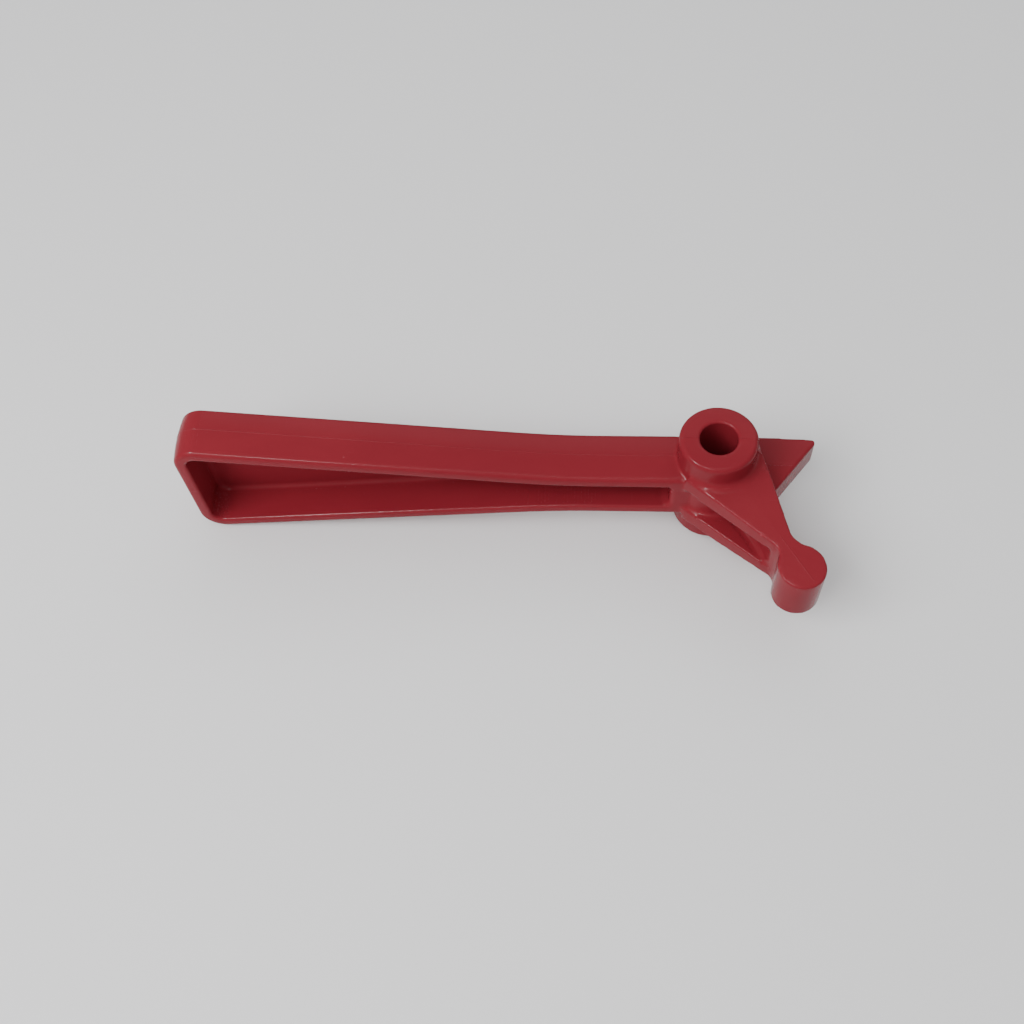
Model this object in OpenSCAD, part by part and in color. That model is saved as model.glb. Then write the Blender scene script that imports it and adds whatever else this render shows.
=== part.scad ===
// Moulded lever of a bee-frame grip.
// +Z is the pivot axis, -X runs along the handle, the origin is the middle of the bore.
// The lever is the same above and below the plane z = 0.

/* [Pivot boss] */
// Diameter of the bore for the pivot pin
bore_d = 11.5; // [8:0.5:14]
// Outside diameter of the boss
boss_d = 24; // [20:0.5:25]
// Length of the boss along the pivot axis
boss_h = 39.6; // [32:0.2:46]
// Radius on the outer edges of the boss
boss_round = 1.8; // [0.5:0.1:3]

/* [Handle] */
// Distance from the pivot axis to the outer face of the end bar
handle_reach = 168; // [120:1:200]
// Height of the handle near the pivot
neck_h = 20.2; // [17:0.2:22]
// Height of the handle at the end bar, before its corners are rounded
end_h = 46.2; // [30:0.2:60]
// Distance from the pivot axis to the middle of the bend, where the legs start to spread
bend_reach = 48.6; // [42:0.2:70]
// Radius of the bend in each leg
bend_r = 250; // [60:10:300]
// Outer radius of the two end corners
corner_r = 8; // [6:0.5:12]
// Distance from the pivot axis to the front of the rim
rim_front = 9.2; // [8:0.1:10]
// Distance from the pivot axis to the back of the rim
rim_back = 8; // [7:0.1:10]
// Thickness of the rim at the middle of its width
rim_t = 4.5; // [3:0.1:5]
// How much lower the outer face is at its edges than at its middle
crown = 0.8; // [0.2:0.1:1.2]
// Radius on the long edges of the rim
rim_round = 1.2; // [0.4:0.1:1.4]
// Depth of the front pocket, from the rim's front edge to the web
pocket_depth = 12.7; // [6:0.1:14]
// Thickness of the web that closes the handle
handle_web_t = 2.4; // [1.5:0.1:4]
// Distance from the pivot axis to the inner end of the pocket
root_reach = 14; // [13.5:0.5:20]

/* [Jaw arm] */
// Angle between the arm and the handle's line
arm_angle = 57.5; // [45:0.5:70]
// Distance from the pivot axis to the axis of the bead
arm_reach = 44; // [42:0.1:50]
// Radius of the circle round the pivot that both flanks touch
flank_r = 13.5; // [13:0.1:14]
// Angle of each flank to the arm's centre line
flank_angle = 18.2; // [16:0.1:19]
// Height over the plates where they leave the boss
arm_root_h = 23; // [20:0.2:26]
// Height over the bead's axis
arm_tip_h = 17.8; // [14:0.2:20]
// Clear height between the plates, which is also the height of the foot
core_h = 10; // [7:0.2:12]
// Thickness of the web between the plates
arm_web_t = 2.2; // [1.5:0.1:4]
// Distance from the pivot axis to where the pockets start to close
flare_start = 22; // [20:0.5:24]
// Distance from the pivot axis to the far end of the pockets
neck_reach = 32.6; // [31:0.2:33.5]
// Radius of the bead
bead_r = 7.1; // [6.5:0.1:7.5]
// Radius between the front flank and the bead
front_neck_round = 4; // [3:0.5:7]
// Radius between the back flank and the bead
back_neck_round = 6.5; // [4:0.5:7]

/* [Foot] */
// Distance from the pivot axis to the plane of the foot's end face
foot_face_dist = 20; // [18:0.1:21]
// Angle of the foot's end face to the handle's line
foot_face_angle = 53.5; // [45:0.5:60]
// Distance from the handle's line to the back of the foot, at its tip
foot_back = 10; // [8:0.2:11]
// The same distance beside the boss
foot_back_root = 11.4; // [10:0.1:11.8]
// Radius on the tip of the foot
foot_tip_r = 1.3; // [0.8:0.1:3]

/* [Hidden] */
$fn = 96;
arc_steps = 8;
past = 60;
red = [0.60, 0.06, 0.09];
dark_red = [0.48, 0.05, 0.07];
neck_z = neck_h / 2;
end_z = end_h / 2;
inner_z = neck_z - rim_t;
spread = atan((end_z - neck_z) / (handle_reach - bend_reach));
bend_half = bend_r * tan(spread / 2);
corner_x = handle_reach - corner_r;
corner_z = neck_z + ((corner_x - bend_reach) * sin(spread) - corner_r) / cos(spread);
corner_inner_r = corner_r - rim_t;
tangent_x = corner_x - corner_r * sin(spread);
leg_length = (tangent_x - bend_reach) / cos(spread) - bend_half;
web_front = pocket_depth - rim_front;
boss_r = boss_d / 2;
core_z = core_h / 2;
arm_web_half = arm_web_t / 2;
bead_tip = arm_reach + bead_r;
taper = (arm_root_h - arm_tip_h) / 2 / (arm_reach - boss_r);

// Half width of the arm between its straight flanks, at a distance u from the pivot axis
function flank_half(u) = (flank_r - u * sin(flank_angle)) / cos(flank_angle);

// Height of the arm's upper face above z = 0, at a distance u from the pivot axis
function arm_z(u) = arm_root_h / 2 - taper * (u - boss_r);

// Points on an arc of radius r round centre, from angle a to angle b
function arc(centre, r, a, b) = [
    for (i = [0:arc_steps])
        let (t = a + (b - a) * i / arc_steps) centre + r * [cos(t), sin(t)]
];

// Height of the rim's outer face above its inner face, at a distance y from the parting line
function crown_x(y) = rim_t - crown * pow(y / (rim_front - rim_round), 2);

// Section of the rim: x is the height above its inner face, y runs across its width
module rim_section() {
    back = rim_back - rim_round;
    front = rim_front - rim_round;
    back_arc = arc([crown_x(back) - rim_round, back], rim_round, 90, 8);
    crown_line = [
        for (i = [1:2 * arc_steps - 1])
            let (y = back - (back + front) * i / (2 * arc_steps)) [crown_x(y), y]
    ];
    front_arc = arc([crown_x(front) - rim_round, -front], rim_round, -8, -90);
    polygon(concat([[0, rim_back]], back_arc, crown_line, front_arc, [[0, -rim_front]]));
}

// Stretch of rim along -X, with its inner face at z = 0
module rim_run(length) {
    rotate([0, -90, 0]) linear_extrude(height = length) rim_section();
}

module handle_leg() {
    straight = bend_reach - bend_half;
    difference() {
        translate([0, 0, inner_z]) rim_run(straight);
        cylinder(d = boss_d, h = boss_h, center = true);
    }
    translate([-straight, 0, neck_z + bend_r]) rotate([0, 90 + spread, 0]) rotate([90, 0, 0])
        rotate_extrude(angle = spread) translate([bend_r + rim_t, 0]) rotate(180) rim_section();
    translate([-bend_reach, 0, neck_z]) rotate([0, spread, 0])
        translate([-bend_half, 0, -rim_t]) rim_run(leg_length);
}

module handle_leg_upper() {
    color(red) handle_leg();
}

module handle_leg_lower() {
    color(red) mirror([0, 0, 1]) handle_leg();
}

module end_corner() {
    translate([-corner_x, 0, corner_z]) rotate([0, spread - 90, 0]) rotate([90, 0, 0])
        rotate_extrude(angle = 90 + spread)
            translate([corner_inner_r, 0]) mirror([0, 1]) rim_section();
}

module handle_end_bar() {
    color(red) {
        translate([rim_t - handle_reach, 0, -corner_z]) mirror([1, 0, 0])
            linear_extrude(height = 2 * corner_z) rim_section();
        end_corner();
        mirror([0, 0, 1]) end_corner();
    }
}

// Upper half of the outline inside the rim; x runs towards the handle's end
function inner_line() = concat(
    [[root_reach, inner_z]],
    arc([bend_reach - bend_half, neck_z + bend_r], bend_r + rim_t, -90, -90 + spread),
    arc([corner_x, corner_z], corner_inner_r, 90 + spread, 0)
);

module handle_web() {
    upper = inner_line();
    lower = [for (i = [len(upper) - 1:-1:0]) [upper[i].x, -upper[i].y]];
    color(dark_red) translate([0, web_front, 0]) rotate([-90, 0, 0]) mirror([1, 0, 0])
        linear_extrude(height = handle_web_t) polygon(concat(upper, lower));
}

// Solid block that ends the pockets and joins the legs and the web to the boss
module handle_root() {
    color(red) difference() {
        translate([-root_reach, -rim_front, -inner_z])
            cube([root_reach, rim_front + rim_back, 2 * inner_z]);
        cylinder(d = boss_d, h = boss_h, center = true);
    }
}

module pivot_boss() {
    straight = boss_h - 2 * boss_round;
    color(red) difference() {
        rotate_extrude() {
            translate([0, -boss_h / 2]) square([boss_r - boss_round, boss_h]);
            translate([0, -straight / 2]) square([boss_r, straight]);
            for (s = [-1, 1])
                translate([boss_r - boss_round, s * straight / 2]) circle(r = boss_round);
        }
        cylinder(d = bore_d, h = boss_h + 2, center = true);
    }
}

// Half of the straight-flanked part of the arm, with its round into the bead
module arm_flank(neck_round) {
    fillet_n = flank_r + neck_round;
    gap = fillet_n - arm_reach * sin(flank_angle);
    fillet_s = arm_reach * cos(flank_angle) - sqrt(pow(bead_r + neck_round, 2) - gap * gap);
    root = flank_r * sin(flank_angle);
    touch = fillet_s * cos(flank_angle) + root;
    difference() {
        polygon([
            [root, -1], [root, flank_half(root)], [touch, flank_half(touch)],
            [arm_reach, bead_r - 1], [arm_reach, -1]
        ]);
        translate([
            fillet_s * cos(flank_angle) + fillet_n * sin(flank_angle),
            fillet_n * cos(flank_angle) - fillet_s * sin(flank_angle)
        ]) circle(r = neck_round);
    }
}

// Straight-flanked part of the arm along +X, narrowing to a neck beside the bead
module arm_flanks() {
    arm_flank(back_neck_round);
    mirror([0, 1]) arm_flank(front_neck_round);
}

// The whole arm along +X, straight-sided, from z = low upwards
module arm_block(low, height) {
    translate([0, 0, low]) {
        cylinder(r = flank_r, h = height);
        translate([arm_reach, 0, 0]) cylinder(r = bead_r, h = height);
        linear_extrude(height = height) arm_flanks();
    }
}

// Everything between the two sloping faces of the arm, along +X
module arm_height() {
    rotate([90, 0, 0]) translate([0, 0, -past]) linear_extrude(height = 2 * past) polygon([
        [-past, arm_z(boss_r)], [boss_r, arm_z(boss_r)], [past, arm_z(past)],
        [past, -arm_z(past)], [boss_r, -arm_z(boss_r)], [-past, -arm_z(boss_r)]
    ]);
}

// The space kept for the handle, which the arm's plates stop against
module handle_side() {
    translate([-past, -rim_front, -past]) cube([past, 2 * past, 2 * past]);
}

module arm_plate() {
    difference() {
        rotate([0, 0, -arm_angle]) intersection() {
            arm_height();
            arm_block(core_z, past);
            translate([-past, -past, 0]) cube([past + neck_reach, 2 * past, 2 * past]);
        }
        cylinder(d = boss_d, h = boss_h + 2, center = true);
        handle_side();
    }
}

module arm_plate_upper() {
    color(red) arm_plate();
}

module arm_plate_lower() {
    color(red) mirror([0, 0, 1]) arm_plate();
}

// Web along the arm's centre line, thickening into the neck
module arm_web() {
    neck_half = flank_half(neck_reach);
    run = neck_reach - flare_start;
    rise = neck_half - arm_web_half;
    flare_r = (run * run + rise * rise) / (2 * rise);
    color(dark_red) difference() {
        rotate([0, 0, -arm_angle]) linear_extrude(height = core_h, center = true) difference() {
            polygon([
                [0, arm_web_half], [flare_start, arm_web_half], [flare_start, neck_half],
                [neck_reach, neck_half], [neck_reach, -neck_half], [flare_start, -neck_half],
                [flare_start, -arm_web_half], [0, -arm_web_half]
            ]);
            for (s = [-1, 1])
                translate([flare_start, s * (arm_web_half + flare_r)]) circle(r = flare_r, $fn = 360);
        }
        cylinder(d = boss_d, h = boss_h, center = true);
    }
}

module jaw_bead() {
    color(red) rotate([0, 0, -arm_angle]) intersection() {
        arm_height();
        arm_block(-past, 2 * past);
        translate([neck_reach, -past, -past]) cube([past, 2 * past, 2 * past]);
    }
}

// Wedge beside the arm; its end face lies against the frame's top bar
module foot_wedge() {
    face = [cos(foot_face_angle), sin(foot_face_angle)];
    out = [sin(foot_face_angle), -cos(foot_face_angle)];
    foot_point = foot_face_dist * out;
    web_gap = arm_angle + foot_face_angle - 90;
    web_u = (foot_face_dist - arm_web_half * sin(web_gap)) / cos(web_gap);
    inner = [
        web_u * cos(arm_angle) + arm_web_half * sin(arm_angle),
        arm_web_half * cos(arm_angle) - web_u * sin(arm_angle)
    ];
    start = arm_web_half * [sin(arm_angle), cos(arm_angle)];
    lead = foot_tip_r / tan(foot_face_angle / 2);
    tip = foot_point + face * (foot_back - foot_point.y) / face.y;
    tip_centre = [tip.x - lead, foot_back - foot_tip_r];
    color(red) difference() {
        translate([0, 0, -core_z]) linear_extrude(height = core_h) {
            polygon([
                start, inner, tip - face * lead, tip_centre + foot_tip_r * [0, 1], [0, foot_back_root]
            ]);
            translate(tip_centre) circle(r = foot_tip_r);
        }
        cylinder(d = boss_d, h = boss_h, center = true);
    }
}

handle_leg_upper();
handle_leg_lower();
handle_end_bar();
handle_web();
handle_root();
pivot_boss();
arm_plate_upper();
arm_plate_lower();
arm_web();
jaw_bead();
foot_wedge();
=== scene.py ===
import time
from math import asin, atan, cos, pi, radians, sin, sqrt, tan

import bmesh
import bpy
from mathutils import Matrix, Vector
from mathutils.bvhtree import BVHTree


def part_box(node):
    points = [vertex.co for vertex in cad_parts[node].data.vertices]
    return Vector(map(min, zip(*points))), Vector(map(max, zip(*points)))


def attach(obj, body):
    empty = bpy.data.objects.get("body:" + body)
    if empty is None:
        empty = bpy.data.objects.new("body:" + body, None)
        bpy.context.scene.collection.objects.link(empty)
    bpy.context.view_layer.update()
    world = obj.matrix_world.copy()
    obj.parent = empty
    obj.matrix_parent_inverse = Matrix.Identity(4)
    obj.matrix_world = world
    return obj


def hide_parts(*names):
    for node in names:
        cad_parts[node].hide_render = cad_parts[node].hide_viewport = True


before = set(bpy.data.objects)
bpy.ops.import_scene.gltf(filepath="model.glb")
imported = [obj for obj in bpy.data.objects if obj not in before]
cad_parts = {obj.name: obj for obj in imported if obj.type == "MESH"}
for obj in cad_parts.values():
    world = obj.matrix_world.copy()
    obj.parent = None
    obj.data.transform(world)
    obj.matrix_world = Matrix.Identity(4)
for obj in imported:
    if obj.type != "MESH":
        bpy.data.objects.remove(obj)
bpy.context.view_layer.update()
mm = 0.001
hair = 0.01 * mm  # closer than this counts as the same place
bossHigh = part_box("pivot_boss")[1]
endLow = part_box("handle_end_bar")[0]
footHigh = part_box("foot_wedge")[1]
print("frame loaded")

boss = {
    "radius": bossHigh.x,
    "half": bossHigh.z,
    "edgeRound": 1.6 * mm,
    "boreRadius": 5.75 * mm,
    "boreRound": 0.35 * mm,
    "footFillet": 2.4 * mm,
    "roof": 0.012,
}

rim = {
    "front": -endLow.y,
    "back": 8.0 * mm,
    "reach": -endLow.x,
    "thick": 4.5 * mm,
    "crown": 0.7 * mm,
    "outerRound": 1.2 * mm,
    "innerRound": 0.8 * mm,
    "neckHalf": 10.1 * mm,
    "endHalf": 23.1 * mm,
    "bendReach": 48.6 * mm,
    "bendRadius": 250 * mm,
    "cornerRadius": 8 * mm,
}

web = {"front": 3.5 * mm, "thick": 2.4 * mm, "fillet": 1.6 * mm}

root = {"reach": 14 * mm, "half": 7 * mm, "corner": 2.4 * mm, "edgeRound": 1.6 * mm}

arm = {
    "turn": radians(57.5),
    "reach": 44 * mm,
    "flankRadius": 13.6 * mm,
    "flankAngle": radians(18.2),
    "rootHalf": 11.5 * mm,
    "tipHalf": 8.9 * mm,
    "coreHalf": footHigh.z,
    "webHalf": 1.1 * mm,
    "flareStart": 22 * mm,
    "neckReach": 34 * mm,
    "pocketRound": 1.8 * mm,
    "beadRadius": 7.1 * mm,
    "neckRoundFront": 4.0 * mm,
    "neckRoundBack": 6.5 * mm,
    "roof": 0.022,
}

foot = {
    "faceDistance": 20.0 * mm,
    "faceAngle": radians(53.5),
    "back": 10.0 * mm,
    "backRoot": 11.4 * mm,
    "tipRound": 1.1 * mm,
}

skin = {"voxel": 0.36 * mm, "passes": 6, "settle": 2, "near": 0.02 * mm, "far": 0.09 * mm}


# general tools

def deselectAll():
    if bpy.context.mode != "OBJECT":
        bpy.ops.object.mode_set(mode="OBJECT")
    bpy.ops.object.select_all(action="DESELECT")


def pick(thing):
    deselectAll()
    thing.select_set(True)
    bpy.context.view_layer.objects.active = thing


def applyAll(thing):
    pick(thing)
    bpy.ops.object.transform_apply(location=True, rotation=True, scale=True)


def startEdit(thing, mode="VERT"):
    pick(thing)
    bpy.ops.object.mode_set(mode="EDIT")
    bpy.ops.mesh.select_mode(type=mode)
    bpy.ops.mesh.select_all(action="DESELECT")
    bpy.ops.object.mode_set(mode="OBJECT")


def fixNormals(thing):
    startEdit(thing, "FACE")
    bpy.ops.object.mode_set(mode="EDIT")
    bpy.ops.mesh.select_all(action="SELECT")
    bpy.ops.mesh.normals_make_consistent(inside=False)
    bpy.ops.object.mode_set(mode="OBJECT")


def block(name, low, high):
    low, high = Vector(low), Vector(high)
    deselectAll()
    bpy.ops.mesh.primitive_cube_add(size=1, location=(low + high) / 2)
    made = bpy.context.object
    made.name = name
    made.scale = high - low
    applyAll(made)
    return made


def rod(name, radius, bottom, top, centre=(0, 0), sides=160):
    deselectAll()
    place = (centre[0], centre[1], (bottom + top) / 2)
    bpy.ops.mesh.primitive_cylinder_add(vertices=sides, radius=radius, depth=top - bottom, location=place)
    made = bpy.context.object
    made.name = name
    applyAll(made)
    return made


def combine(target, tool, how, keepTool=False):
    pick(target)
    step = target.modifiers.new("combine", "BOOLEAN")
    step.operation = how
    step.solver = "MANIFOLD"
    step.object = tool
    bpy.ops.object.modifier_apply(modifier=step.name)
    if not keepTool:
        bpy.data.objects.remove(tool)
    return target


def prism(name, outline, bottom, top):
    mesh = bpy.data.meshes.new(name)
    mesh.from_pydata([(x, y, bottom) for x, y in outline], [], [list(range(len(outline)))])
    made = bpy.data.objects.new(name, mesh)
    bpy.context.collection.objects.link(made)
    startEdit(made, "FACE")
    bpy.ops.object.mode_set(mode="EDIT")
    bpy.ops.mesh.select_all(action="SELECT")
    bpy.ops.mesh.extrude_region_move(TRANSFORM_OT_translate={"value": (0, 0, top - bottom)})
    bpy.ops.object.mode_set(mode="OBJECT")
    fixNormals(made)
    return made


def turned(thing, angle, axis="Z"):
    thing.matrix_world = Matrix.Rotation(angle, 4, axis) @ thing.matrix_world
    applyAll(thing)
    return thing


# handle rim: one section, extruded and spun round the whole frame

spread = atan((rim["endHalf"] - rim["neckHalf"]) / (rim["reach"] - rim["bendReach"]))
bendHalf = rim["bendRadius"] * tan(spread / 2)
cornerX = rim["reach"] - rim["cornerRadius"]
cornerZ = rim["neckHalf"] + ((cornerX - rim["bendReach"]) * sin(spread) - rim["cornerRadius"]) / cos(spread)
legLength = (cornerX - rim["cornerRadius"] * sin(spread) - rim["bendReach"]) / cos(spread) - bendHalf


def makeRim():
    front, back, thick = rim["front"], rim["back"], rim["thick"]
    middle = rim["neckHalf"] - thick / 2
    deselectAll()
    place = (0, (back - front) / 2, middle)
    bpy.ops.mesh.primitive_plane_add(size=1, location=place, rotation=(0, radians(-90), 0))
    made = bpy.context.object
    made.name = "rim"
    made.scale = (thick, front + back, 1)
    applyAll(made)
    for upper in (True, False):
        startEdit(made)
        for v in made.data.vertices:
            v.select = (v.co.z > middle) == upper
        bpy.ops.object.mode_set(mode="EDIT")
        rounding = rim["outerRound"] if upper else rim["innerRound"]
        bpy.ops.mesh.bevel(affect="VERTICES", segments=7, offset=rounding)
    startEdit(made, "EDGE")
    for e in made.data.edges:  # the long outer edge takes the crown
        ends = [made.data.vertices[i].co for i in e.vertices]
        outermost = min(p.z for p in ends) > rim["neckHalf"] - hair
        e.select = outermost and abs(ends[0].y - ends[1].y) > front
    bpy.ops.object.mode_set(mode="EDIT")
    bpy.ops.mesh.subdivide(number_cuts=15)
    bpy.ops.object.mode_set(mode="OBJECT")
    for v in made.data.vertices:
        if v.co.z > middle:
            v.co.z -= rim["crown"] * (v.co.y / front) ** 2
    bpy.ops.object.mode_set(mode="EDIT")
    bpy.ops.mesh.select_mode(type="FACE")
    bpy.ops.mesh.select_all(action="SELECT")
    bendX = -(rim["bendReach"] - bendHalf)
    slope = Vector((-cos(spread), 0, sin(spread)))

    def run(way, length):
        bpy.ops.mesh.extrude_region_move(TRANSFORM_OT_translate={"value": way * length})

    def turn(steps, angle, centre):
        bpy.ops.mesh.spin(steps=steps, angle=-angle, center=centre, axis=(0, 1, 0), dupli=False)

    run(Vector((-1, 0, 0)), -bendX)
    turn(14, spread, (bendX, 0, rim["neckHalf"] + rim["bendRadius"]))
    run(slope, legLength)
    turn(32, -(pi / 2 + spread), (-cornerX, 0, cornerZ))
    run(Vector((0, 0, -1)), 2 * cornerZ)
    turn(32, -(pi / 2 + spread), (-cornerX, 0, -cornerZ))
    run(Vector((-slope.x, 0, slope.z)), legLength)
    turn(14, spread, (bendX, 0, -rim["neckHalf"] - rim["bendRadius"]))
    run(Vector((1, 0, 0)), -bendX)
    bpy.ops.mesh.select_all(action="SELECT")
    bpy.ops.mesh.remove_doubles(threshold=0.001 * mm)
    bpy.ops.object.mode_set(mode="OBJECT")
    fixNormals(made)
    return made


def report(thing):
    bm = bmesh.new()
    bm.from_mesh(thing.data)
    bad = sum(1 for e in bm.edges if not e.is_manifold)
    print(thing.name, "faces", len(bm.faces), "open edges", bad, "volume", round(bm.calc_volume() * 1e6, 3))
    bm.free()


def arcPoints(centre, radius, start, end, steps):
    angles = [start + (end - start) * i / steps for i in range(steps + 1)]
    return [(centre[0] + radius * cos(angle), centre[1] + radius * sin(angle)) for angle in angles]


# line along the inside of the rim, from the pivot side to the far corner
def innerLine():
    innerZ = rim["neckHalf"] - rim["thick"]
    points = [(root["reach"], innerZ)]
    bendX = rim["bendReach"] - bendHalf
    bendZ = rim["neckHalf"] + rim["bendRadius"]
    points += arcPoints((bendX, bendZ), rim["bendRadius"] + rim["thick"], -pi / 2, spread - pi / 2, 12)
    points += arcPoints((cornerX, cornerZ), rim["cornerRadius"] - rim["thick"], pi / 2 + spread, 0, 12)
    return points


# stands an outline drawn on x and z upright, running from low to high along y
def uprightPrism(name, outline, low, high):
    made = prism(name, [(-x, z) for x, z in outline], low, high)
    made.matrix_world = Matrix(((1, 0, 0, 0), (0, 0, 1, 0), (0, 1, 0, 0), (0, 0, 0, 1)))
    applyAll(made)
    fixNormals(made)
    return made


def innerPrism(name, low, high):
    upper = innerLine()
    return uprightPrism(name, upper + [(x, -z) for x, z in reversed(upper)], low, high)


def makeWeb():
    fillet, steps = web["fillet"], 7
    made = innerPrism("web", web["front"] - fillet, web["front"] + web["thick"] + fillet)
    for side in (-1, 1):
        startEdit(made, "FACE")
        for f in made.data.polygons:
            f.select = f.normal.y * side > 0.9
        bpy.ops.object.mode_set(mode="EDIT")
        for i in range(steps):
            a, b = pi / 2 * i / steps, pi / 2 * (i + 1) / steps
            bpy.ops.mesh.inset(thickness=fillet * (cos(a) - cos(b)), depth=-fillet * (sin(b) - sin(a)))
        bpy.ops.object.mode_set(mode="OBJECT")
    return made


def makeRoot():
    inner = rim["neckHalf"] - rim["thick"]
    corner, reach, half = root["corner"], root["reach"], root["half"]
    curve = arcPoints((reach + corner, inner - corner), corner, pi, pi / 2, 8)
    upper = [(0, half), (reach + corner, half)] + list(reversed(curve))
    outline = upper + [(x, -z) for x, z in reversed(upper)]
    made = uprightPrism("root", outline, -rim["front"], rim["back"])
    startEdit(made, "EDGE")
    for e in made.data.edges:  # the rims of the pocket's end walls, front and back
        ends = [made.data.vertices[i].co for i in e.vertices]
        level = abs(ends[0].y - ends[1].y) < hair
        onWall = all(-reach - corner < p.x < hair - reach and abs(p.z) < inner + hair for p in ends)
        e.select = level and onWall
    bpy.ops.object.mode_set(mode="EDIT")
    bpy.ops.mesh.bevel(affect="EDGES", segments=5, offset=root["edgeRound"])
    bpy.ops.object.mode_set(mode="OBJECT")
    return made


# turns a profile of radius and height into a solid about the z axis
def lathe(name, profile, steps=192):
    mesh = bpy.data.meshes.new(name)
    mesh.from_pydata([(r, 0, z) for r, z in profile], [(i, i + 1) for i in range(len(profile) - 1)], [])
    made = bpy.data.objects.new(name, mesh)
    bpy.context.collection.objects.link(made)
    startEdit(made)
    bpy.ops.object.mode_set(mode="EDIT")
    bpy.ops.mesh.select_all(action="SELECT")
    bpy.ops.mesh.spin(steps=steps, angle=2 * pi, center=(0, 0, 0), axis=(0, 0, 1))
    bpy.ops.mesh.select_all(action="SELECT")
    bpy.ops.mesh.remove_doubles(threshold=0.002 * mm)
    bpy.ops.object.mode_set(mode="OBJECT")
    fixNormals(made)
    return made


def sliceOff(thing, point, normal):
    startEdit(thing, "FACE")
    bpy.ops.object.mode_set(mode="EDIT")
    bpy.ops.mesh.select_all(action="SELECT")
    bpy.ops.mesh.bisect(
        plane_co=point, plane_no=normal, use_fill=True, clear_outer=True, threshold=0.0001 * mm
    )
    bpy.ops.object.mode_set(mode="OBJECT")


# both faces fall away from the parting line like a shallow roof
def roofCut(thing, point, slope, fall):
    for up in (1, -1):
        for side in (1, -1):
            sliceOff(thing, (point[0], 0, up * point[1]), (slope, side * fall, up))


def makeBoss():
    r, h, e = boss["radius"], boss["half"], boss["edgeRound"]
    corner = arcPoints((r - e, h - e), e, 0, pi / 2, 10)
    profile = [(0, -h)] + [(x, -z) for x, z in reversed(corner)] + corner + [(0, h)]
    made = lathe("boss", profile)
    roofCut(made, (0, h), 0, boss["roof"])
    return made


def makeBore():
    r, h, e = boss["boreRadius"], boss["half"], boss["boreRound"]
    flare = arcPoints((r + e, h - e - 0.1 * mm), e, pi, pi / 2, 5)
    profile = [(0, -h - 1 * mm), (r + e, -h - 1 * mm)] + [(x, -z) for x, z in reversed(flare)] + flare
    return lathe("bore", profile + [(r + e, h + 1 * mm), (0, h + 1 * mm)])


# half the width of the arm between its flanks, at a distance from the bore
def flankHalf(u):
    return (arm["flankRadius"] - u * sin(arm["flankAngle"])) / cos(arm["flankAngle"])


# one side of the arm's outline, from behind the pivot to the tip of the bead
def armSide(neckRound):
    a, big, reach, bead = arm["flankAngle"], arm["flankRadius"], arm["reach"], arm["beadRadius"]
    n = big + neckRound
    s = reach * cos(a) - sqrt((bead + neckRound) ** 2 - (n - reach * sin(a)) ** 2)
    centre = (s * cos(a) + n * sin(a), n * cos(a) - s * sin(a))
    toBead = atan(centre[1] / (reach - centre[0]))
    points = arcPoints((0, 0), big, pi, pi / 2 - a, 48)
    points += arcPoints(centre, neckRound, 3 * pi / 2 - a, 2 * pi - toBead, 12)
    points += arcPoints((reach, 0), bead, pi - toBead, 0, 32)[1:]
    return points


def armOutline():
    back, front = armSide(arm["neckRoundBack"]), armSide(arm["neckRoundFront"])
    return back + [(u, -v) for u, v in reversed(front)][1:-1]


# one pocket between the plates, on the side given
def makePocket(side):
    half, start, neck = arm["webHalf"], arm["flareStart"], arm["neckReach"]
    end = flankHalf(neck)
    rise = end - half
    radius = ((neck - start) ** 2 + rise ** 2) / (2 * rise)
    sweep = asin((neck - start) / radius)
    flare = arcPoints((start, half + radius), radius, -pi / 2, -pi / 2 + sweep, 12)
    behind, outside = -8 * mm, 20 * mm  # well past the arm's own outline
    beyond = neck + 4 * mm
    outline = [(behind, half)] + flare
    outline += [(beyond, end + 2.2 * mm), (beyond, outside), (behind, outside)]
    made = prism("pocket", [(u, side * v) for u, v in outline], -arm["coreHalf"], arm["coreHalf"])
    startEdit(made, "EDGE")
    for e in made.data.edges:  # fillets between the web and the plates
        ends = [made.data.vertices[i].co for i in e.vertices]
        level = abs(ends[0].z - ends[1].z) < hair
        e.select = level and all(p.x < neck + hair and abs(p.y) < end + hair for p in ends)
    bpy.ops.object.mode_set(mode="EDIT")
    bpy.ops.mesh.bevel(affect="EDGES", segments=5, offset=arm["pocketRound"])
    bpy.ops.object.mode_set(mode="OBJECT")
    return made


def makeArm():
    made = prism("arm", armOutline(), -14 * mm, 14 * mm)  # taller than the plates, then cut down
    taper = (arm["rootHalf"] - arm["tipHalf"]) / (arm["reach"] - boss["radius"])
    roofCut(made, (boss["radius"], arm["rootHalf"]), taper, arm["roof"])
    roofCut(made, (0, arm["rootHalf"]), 0, arm["roof"])
    for side in (1, -1):
        combine(made, makePocket(side), "DIFFERENCE")
    # fillet at the foot of the boss, kept to the arm's own outline
    r, f, z = boss["radius"], boss["footFillet"], arm["rootHalf"] - 0.25 * mm
    curve = arcPoints((r + f, z + f), f, -pi / 2, -pi, 8)
    profile = [(0, z - 1 * mm), (r + f, z - 1 * mm)] + curve + [(0, z + f)]
    for up in (1, -1):
        skirt = lathe("skirt", [(x, up * y) for x, y in profile])
        combine(skirt, prism("outline", armOutline(), -20 * mm, 20 * mm), "INTERSECT")
        combine(made, skirt, "UNION")
    turned(made, -arm["turn"])
    handleSide = block("handleSide", (-60 * mm, -rim["front"], -30 * mm), (0, 60 * mm, 30 * mm))
    combine(made, handleSide, "DIFFERENCE")
    return made


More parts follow.
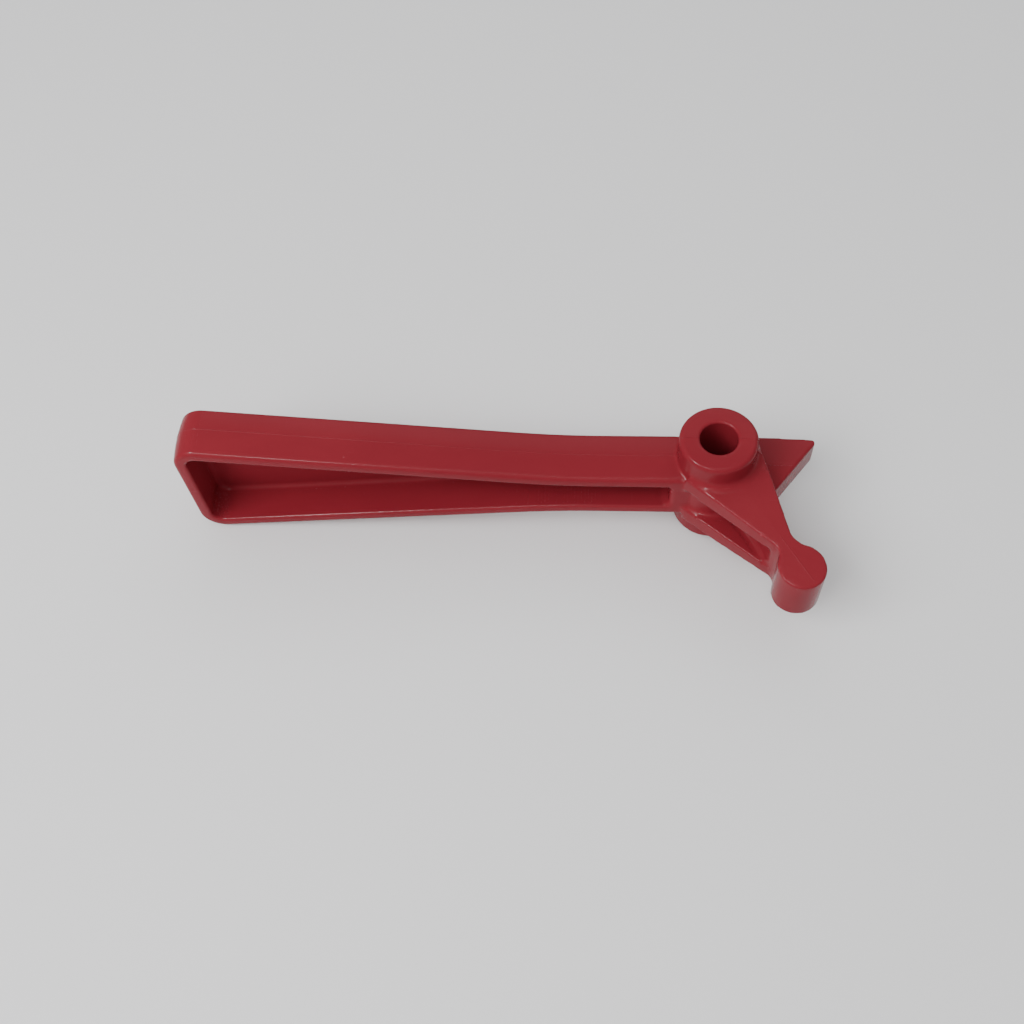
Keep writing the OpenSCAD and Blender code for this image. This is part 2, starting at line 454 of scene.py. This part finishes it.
def makeFoot():
    face = foot["faceAngle"]
    out = Vector((sin(face), -cos(face)))
    along = Vector((cos(face), sin(face)))
    half = arm["webHalf"]
    gap = arm["turn"] + face - pi / 2
    webU = (foot["faceDistance"] - half * sin(gap)) / cos(gap)
    inner = Vector((cos(arm["turn"]), -sin(arm["turn"]))) * webU
    point = out * foot["faceDistance"]
    tip = point + along * (foot["back"] - point.y) / along.y
    lead = foot["tipRound"] / tan(face / 2)
    centre = (tip.x - lead, foot["back"] - foot["tipRound"])
    tipArc = arcPoints(centre, foot["tipRound"], face - pi / 2, pi / 2, 14)
    outline = [(0, 0), (inner.x, inner.y)] + tipArc + [(0, foot["backRoot"])]
    made = prism("foot", outline, -8 * mm, 8 * mm)
    roofCut(made, (0, arm["coreHalf"]), 0, arm["roof"])
    return made


stamp = time.time()


def note(text):
    print(text, round(time.time() - stamp, 1), "s")


body = makeRim()
body.name = "lever"
for maker in (makeWeb, makeRoot, makeArm, makeFoot, makeBoss):
    part = maker()
    report(part)
    combine(body, part, "UNION")
    report(body)
combine(body, makeBore(), "DIFFERENCE")
report(body)
note("lever joined")


def relax(thing, passes):
    pick(thing)
    step = thing.modifiers.new("relax", "SMOOTH")
    step.factor = 0.5
    step.iterations = passes
    bpy.ops.object.modifier_apply(modifier=step.name)


# a fine even skin rounds the joints, then flat and curved faces settle back on the exact shape
def makeSkin(thing):
    pick(thing)
    exact = BVHTree.FromObject(thing, bpy.context.evaluated_depsgraph_get())
    step = thing.modifiers.new("skin", "REMESH")
    step.mode = "VOXEL"
    step.voxel_size = skin["voxel"]
    bpy.ops.object.modifier_apply(modifier=step.name)
    relax(thing, skin["passes"])
    near, far = skin["near"], skin["far"]
    for v in thing.data.vertices:
        spot, _, _, distance = exact.find_nearest(v.co, 2 * mm)
        if distance is not None and distance < far:
            share = min(1, (far - distance) / (far - near))
            v.co = v.co.lerp(spot, share * share * (3 - 2 * share))
    relax(thing, skin["settle"])


makeSkin(body)
report(body)
note("skin made")

armWay = Vector((cos(arm["turn"]), -sin(arm["turn"]), 0))
armSideways = Vector((sin(arm["turn"]), cos(arm["turn"]), 0))

# joints that are rounder than the skin alone makes them; limits in mm from the bore's axis,
# with along and across measured from the arm's centre line
softJoints = {
    "pocketEnd": {"passes": 45, "where": {"along": (31.2, 37), "across": (-9, -1.6), "height": (-1, 7.9)}},
    "slotStart": {
        "passes": 24,
        "where": {"x": (-60, 3), "y": (-60, -9), "height": (3.6, 6.6), "radius": (11.4, 14.2)},
    },
    "handleNeck": {"passes": 14, "where": {"x": (-16, -8), "height": (8.8, 12.6), "radius": (-1, 14.5)}},
    "bossFoot": {"passes": 20, "where": {"height": (10.9, 17.4), "radius": (11, 16.5)}},
}


def isInside(p, where):
    measured = {"x": p.x, "y": p.y, "height": abs(p.z), "radius": p.xy.length}
    measured["along"], measured["across"] = p.dot(armWay), p.dot(armSideways)
    return all(low * mm < measured[name] < high * mm for name, (low, high) in where.items())


def easeJoint(thing, joint):
    startEdit(thing)
    for v in thing.data.vertices:
        v.select = isInside(v.co, joint["where"])
    bpy.ops.object.mode_set(mode="EDIT")
    bpy.ops.mesh.vertices_smooth(factor=0.5, repeat=joint["passes"])
    bpy.ops.object.mode_set(mode="OBJECT")


for joint in softJoints.values():
    easeJoint(body, joint)
note("joints eased")

# the two halves of the mould leave a fine raised line, and a small step beside the boss

parting = {
    "width": 0.15 * mm,
    "height": 0.08 * mm,
    "armHeight": 0.05 * mm,
    "step": 0.24 * mm,
    "stepStart": 9.5 * mm,
}


# along the outside of the rim, then round the boss and over the foot
def onHandleLine(p, n):
    if abs(p.y) > 1 * mm or abs(n.y) > 0.6:
        return False
    if p.x < -boss["radius"]:
        onLegs = n.z * p.z > 0.3 * abs(p.z)
        onEnd = p.x < 1 * mm - rim["reach"] and n.x < -0.3
        return onLegs or onEnd
    outsideBore = p.xy.length > boss["boreRadius"] + 0.7 * mm and p.x > -boss["radius"]
    return outsideBore or abs(p.z) > 12 * mm


# from the arm's neck over the bead and down its tip
def onArmLine(p, n):
    along = p.dot(armWay)
    nearMiddle = abs(p.dot(armSideways)) < 1 * mm
    return nearMiddle and along > 33 * mm and (abs(n.z) > 0.5 or along > 49 * mm)


def cutLine(thing, wanted, way, offset):
    startEdit(thing, "FACE")
    for f in thing.data.polygons:
        f.select = wanted(f.center, f.normal)
    bpy.ops.object.mode_set(mode="EDIT")
    bpy.ops.mesh.bisect(plane_co=way * offset, plane_no=way, threshold=0.0001 * mm)
    bpy.ops.object.mode_set(mode="OBJECT")


def addLine(thing, wanted, way, height):
    width = parting["width"]
    for offset in (-width, 0, width):
        cutLine(thing, wanted, way, offset)
    raised = [v for v in thing.data.vertices if abs(v.co.dot(way)) < 0.004 * mm and wanted(v.co, v.normal)]
    moves = [(v, v.normal.copy()) for v in raised]
    for v, normal in moves:
        v.co += normal * height


# the front half of the boss and of the plate beside it sits a little further in
def addStep(thing):
    low, high = parting["stepStart"], boss["radius"]
    for v in thing.data.vertices:
        p = v.co
        frontHalf = p.y < -0.9 * parting["width"] and p.x > 0
        if frontHalf and abs(p.z) > arm["rootHalf"] - 0.3 * mm and p.xy.length < 14.6 * mm:
            share = min(1, max(0, (p.xy.length - low) / (high - low))) * min(1, p.x / high)
            v.co.x -= parting["step"] * share


addLine(body, onHandleLine, Vector((0, 1, 0)), parting["height"])
addLine(body, onArmLine, armSideways, parting["armHeight"])
addStep(body)
report(body)
note("parting line raised")

# one glossy red plastic covers everything

finish = {
    "red": (0.215, 0.018, 0.0262, 1),
    "deepRed": (0.192, 0.0155, 0.023, 1),
    "scuffed": (0.33, 0.06, 0.078, 1),
    "roughness": 0.18,
    "specular": 0.078,
    "grain": 1400,
    "peel": 420,
    "flow": 34,
}


# a socket that shader maths can be written with
class Wire:
    def __init__(self, tree, socket):
        self.tree = tree
        self.socket = socket

    def node(self, kind, settings, values, output=0):
        made = self.tree.nodes.new(kind)
        for name, value in settings.items():
            if name == "stops":
                for stop, (place, shade) in zip(made.color_ramp.elements, value):
                    stop.position = place
                    stop.color = shade
            else:
                setattr(made, name, value)
        for name, value in values.items():
            if isinstance(value, Wire):
                self.tree.links.new(value.socket, made.inputs[name])
            else:
                made.inputs[name].default_value = value
        return Wire(self.tree, made.outputs[output])

    def maths(self, operation, first, second):
        return self.node("ShaderNodeMath", {"operation": operation}, {0: first, 1: second})

    def __add__(self, other):
        return self.maths("ADD", self, other)

    def __sub__(self, other):
        return self.maths("SUBTRACT", self, other)

    def __rsub__(self, other):
        return self.maths("SUBTRACT", other, self)

    def __mul__(self, other):
        return self.maths("MULTIPLY", self, other)

    __radd__ = __add__
    __rmul__ = __mul__

    def between(self, low, high):
        settings = {"interpolation_type": "SMOOTHSTEP", "clamp": True}
        return self.node("ShaderNodeMapRange", settings, {"Value": self, "From Min": low, "From Max": high})

    def noise(self, scale, detail=2.0, stretch=(1, 1, 1), turn=(0, 0, 0)):
        placed = self.node("ShaderNodeMapping", {}, {"Vector": self, "Scale": stretch, "Rotation": turn})
        return self.node("ShaderNodeTexNoise", {}, {"Vector": placed, "Scale": scale, "Detail": detail})

    def mix(self, first, second):
        settings = {"data_type": "RGBA", "blend_type": "MIX"}
        return self.node("ShaderNodeMix", settings, {0: self, 6: first, 7: second}, output=2)


def makeRed():
    made = bpy.data.materials.new("redPlastic")
    made.use_nodes = True
    tree = made.node_tree
    shader = tree.nodes["Principled BSDF"]
    place = Wire(tree, tree.nodes.new("ShaderNodeTexCoord").outputs["Object"])
    point = Wire(tree, tree.nodes.new("ShaderNodeNewGeometry").outputs["Pointiness"])

    flow = place.noise(finish["flow"], 4, stretch=(0.45, 1, 1)).between(0.35, 0.68)
    peel = place.noise(finish["peel"], 2)
    grain = place.noise(finish["grain"], 3)
    scratches = place.noise(60, 2, stretch=(0.5, 42, 42), turn=(0, 0.05, 0.09)).between(0.69, 0.74)
    cross = place.noise(60, 2, stretch=(38, 1.2, 38), turn=(0.3, 0.1, 0.5)).between(0.72, 0.76)
    edge = point.between(0.52, 0.60)
    chips = edge * grain.between(0.45, 0.62)
    wear = chips * 0.3 + scratches * 0.04 + cross * 0.04

    body = flow.mix(finish["deepRed"], finish["red"])
    colour = wear.mix(body, finish["scuffed"])
    rough = finish["roughness"] + flow * 0.04 + grain * 0.04 + chips * 0.14 + scratches * 0.05 + cross * 0.05
    height = peel * 0.9 + grain * 0.12 - chips * 0.9 - scratches * 0.05 - cross * 0.05
    bump = place.node("ShaderNodeBump", {}, {"Strength": 0.5, "Distance": 0.0001, "Height": height})
    for name, wire in (("Base Color", colour), ("Roughness", rough), ("Normal", bump)):
        tree.links.new(wire.socket, shader.inputs[name])
    shader.inputs["Specular IOR Level"].default_value = finish["specular"]
    shader.inputs["IOR"].default_value = 1.5
    return made


redPlastic = makeRed()


# the tool's share of the lever becomes a part of its own, and the lever keeps the rest
def takeOut(name, tool, nodes, last=False):
    piece = body if last else body.copy()
    if not last:
        piece.data = body.data.copy()
        bpy.context.collection.objects.link(piece)
        combine(piece, tool, "INTERSECT", keepTool=True)
        combine(body, tool, "DIFFERENCE")
    piece.name = name
    piece.data.name = name
    pick(piece)
    bpy.ops.object.shade_smooth_by_angle(angle=radians(50))
    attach(piece, "root")
    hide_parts(*nodes)
    piece.data.materials.clear()
    piece.data.materials.append(redPlastic)
    report(piece)
    return piece


# the lever is cut into its named parts in this order; each cut face is shared by two parts
def cutters():
    far = 80 * mm
    pastHandle = -300 * mm
    r, plate, core = boss["radius"], arm["rootHalf"], arm["coreHalf"]
    inner = rim["neckHalf"] - rim["thick"]
    bossTool = rod("bossTool", r + 0.15 * mm, -far, far)
    for up in (1, -1):
        ring = rod("ring", r + boss["footFillet"], plate - 0.2 * mm, far)
        if up < 0:
            ring.scale.z = -1
            applyAll(ring)
            fixNormals(ring)
        combine(bossTool, ring, "UNION")
    yield "pivotBoss", bossTool, ["pivot_boss"]
    yield "handleWeb", innerPrism("webTool", -far, far), ["handle_web"]
    rootLow, rootHigh = (-root["reach"] - 0.5 * mm, -far, -inner), (0, rim["back"] + 1 * mm, inner)
    yield "handleRoot", block("rootTool", rootLow, rootHigh), ["handle_root"]
    endX = -(cornerX - rim["cornerRadius"] * sin(spread))
    yield "handleEndBar", block("endTool", (pastHandle, -far, -far), (endX, far, far)), ["handle_end_bar"]
    legFront = -rim["front"] - 0.3 * mm
    yield "handleLegUpper", block("legTool", (pastHandle, legFront, 0), (0, far, far)), ["handle_leg_upper"]
    yield "handleLegLower", block("legTool", (pastHandle, legFront, -far), (0, far, 0)), ["handle_leg_lower"]
    beadTool = turned(block("beadTool", (arm["neckReach"], -far, -far), (far, far, far)), -arm["turn"])
    yield "jawBead", beadTool, ["jaw_bead"]
    footTool = turned(block("footTool", (-far, arm["webHalf"], -core), (far, far, core)), -arm["turn"])
    yield "footWedge", footTool, ["foot_wedge"]
    yield "armWeb", block("armWebTool", (-far, -far, -core), (far, far, core)), ["arm_web"]
    yield "armPlateUpper", block("plateTool", (-far, -far, 0), (far, far, far)), ["arm_plate_upper"]
    yield "armPlateLower", None, ["arm_plate_lower"]


for name, tool, nodes in cutters():
    takeOut(name, tool, nodes, last=tool is None)
note("parts cut")


# camera, light and floor

view = {
    "place": (-33.904 * mm, -204.48 * mm, 321.28 * mm),
    "yaw": -0.151,
    "pitch": 1.033,
    "roll": -0.116,
    "lens": 42.23,
}


def makeCamera():
    yaw, pitch, roll = view["yaw"], view["pitch"], view["roll"]
    ahead = Vector((sin(yaw) * cos(pitch), cos(yaw) * cos(pitch), -sin(pitch)))
    level = Vector((cos(yaw), -sin(yaw), 0))
    upright = level.cross(ahead)
    right = level * cos(roll) + upright * sin(roll)
    up = upright * cos(roll) - level * sin(roll)
    data = bpy.data.cameras.new("camera")
    data.lens = view["lens"]
    data.sensor_width = 36
    data.clip_start = 0.01
    data.clip_end = 10
    made = bpy.data.objects.new("camera", data)
    bpy.context.collection.objects.link(made)
    turn = Matrix((right, up, -ahead)).transposed().to_4x4()
    made.matrix_world = Matrix.Translation(view["place"]) @ turn
    bpy.context.scene.camera = made


def softLight(name, place, target, size, power, colour, mirrored=True, shining=True):
    data = bpy.data.lights.new(name, "AREA")
    data.shape = "RECTANGLE"
    data.size, data.size_y = size
    data.energy = power
    data.color = colour
    made = bpy.data.objects.new(name, data)
    bpy.context.collection.objects.link(made)
    way = Vector(target) - Vector(place)
    made.rotation_euler = way.to_track_quat("-Z", "Y").to_euler()
    made.location = place
    made.visible_glossy = mirrored
    made.visible_diffuse = shining


def makeStage():
    deselectAll()
    bpy.ops.mesh.primitive_plane_add(size=6, location=(0, 0, floor["height"]))
    made = bpy.context.object
    made.name = "floor"
    applyAll(made)
    paint = bpy.data.materials.new("floorPaint")
    paint.use_nodes = True
    shader = paint.node_tree.nodes["Principled BSDF"]
    shader.inputs["Base Color"].default_value = (0.78, 0.78, 0.78, 1)
    shader.inputs["Roughness"].default_value = 0.85
    made.data.materials.append(paint)
    world = bpy.data.worlds.new("studio")
    world.use_nodes = True
    sky = world.node_tree.nodes["Background"]
    sky.inputs["Color"].default_value = (1, 1, 1, 1)
    sky.inputs["Strength"].default_value = 0.44
    bpy.context.scene.world = world
    middle = (-0.05, 0, 0)
    softLight("skyLight", (-0.2, 0.1, 1.2), middle, (2.2, 2.2), 6.8, (1, 1, 1), mirrored=False)
    softLight("frontLight", (-0.08, -0.4, 0.75), middle, (0.3, 0.3), 1.5, (1, 0.99, 1), mirrored=False)
    softLight("sideLight", (-0.6, -0.43, 0.72), middle, (0.7, 0.5), 8.6, (1, 0.99, 1), mirrored=False)
    softLight("keyLight", (-0.425, -0.165, 0.62), middle, (0.05, 0.12), 7, (1, 0.98, 0.98), shining=False)
    softLight("lampLight", (-0.2, -0.315, 0.66), middle, (0.06, 0.06), 2.6, (1, 0.98, 0.98), shining=False)
    softLight("stripLight", (-0.02, -0.02, 0.9), middle, (0.6, 0.03), 1.0, (0.98, 0.99, 1), shining=False)
    softLight("backLight", (0.1, 0.75, 0.75), middle, (1.0, 0.35), 1.7, (0.94, 0.97, 1))


floor = {"height": endLow.z - 0.3 * mm}
makeCamera()
makeStage()
note("camera and stage set")
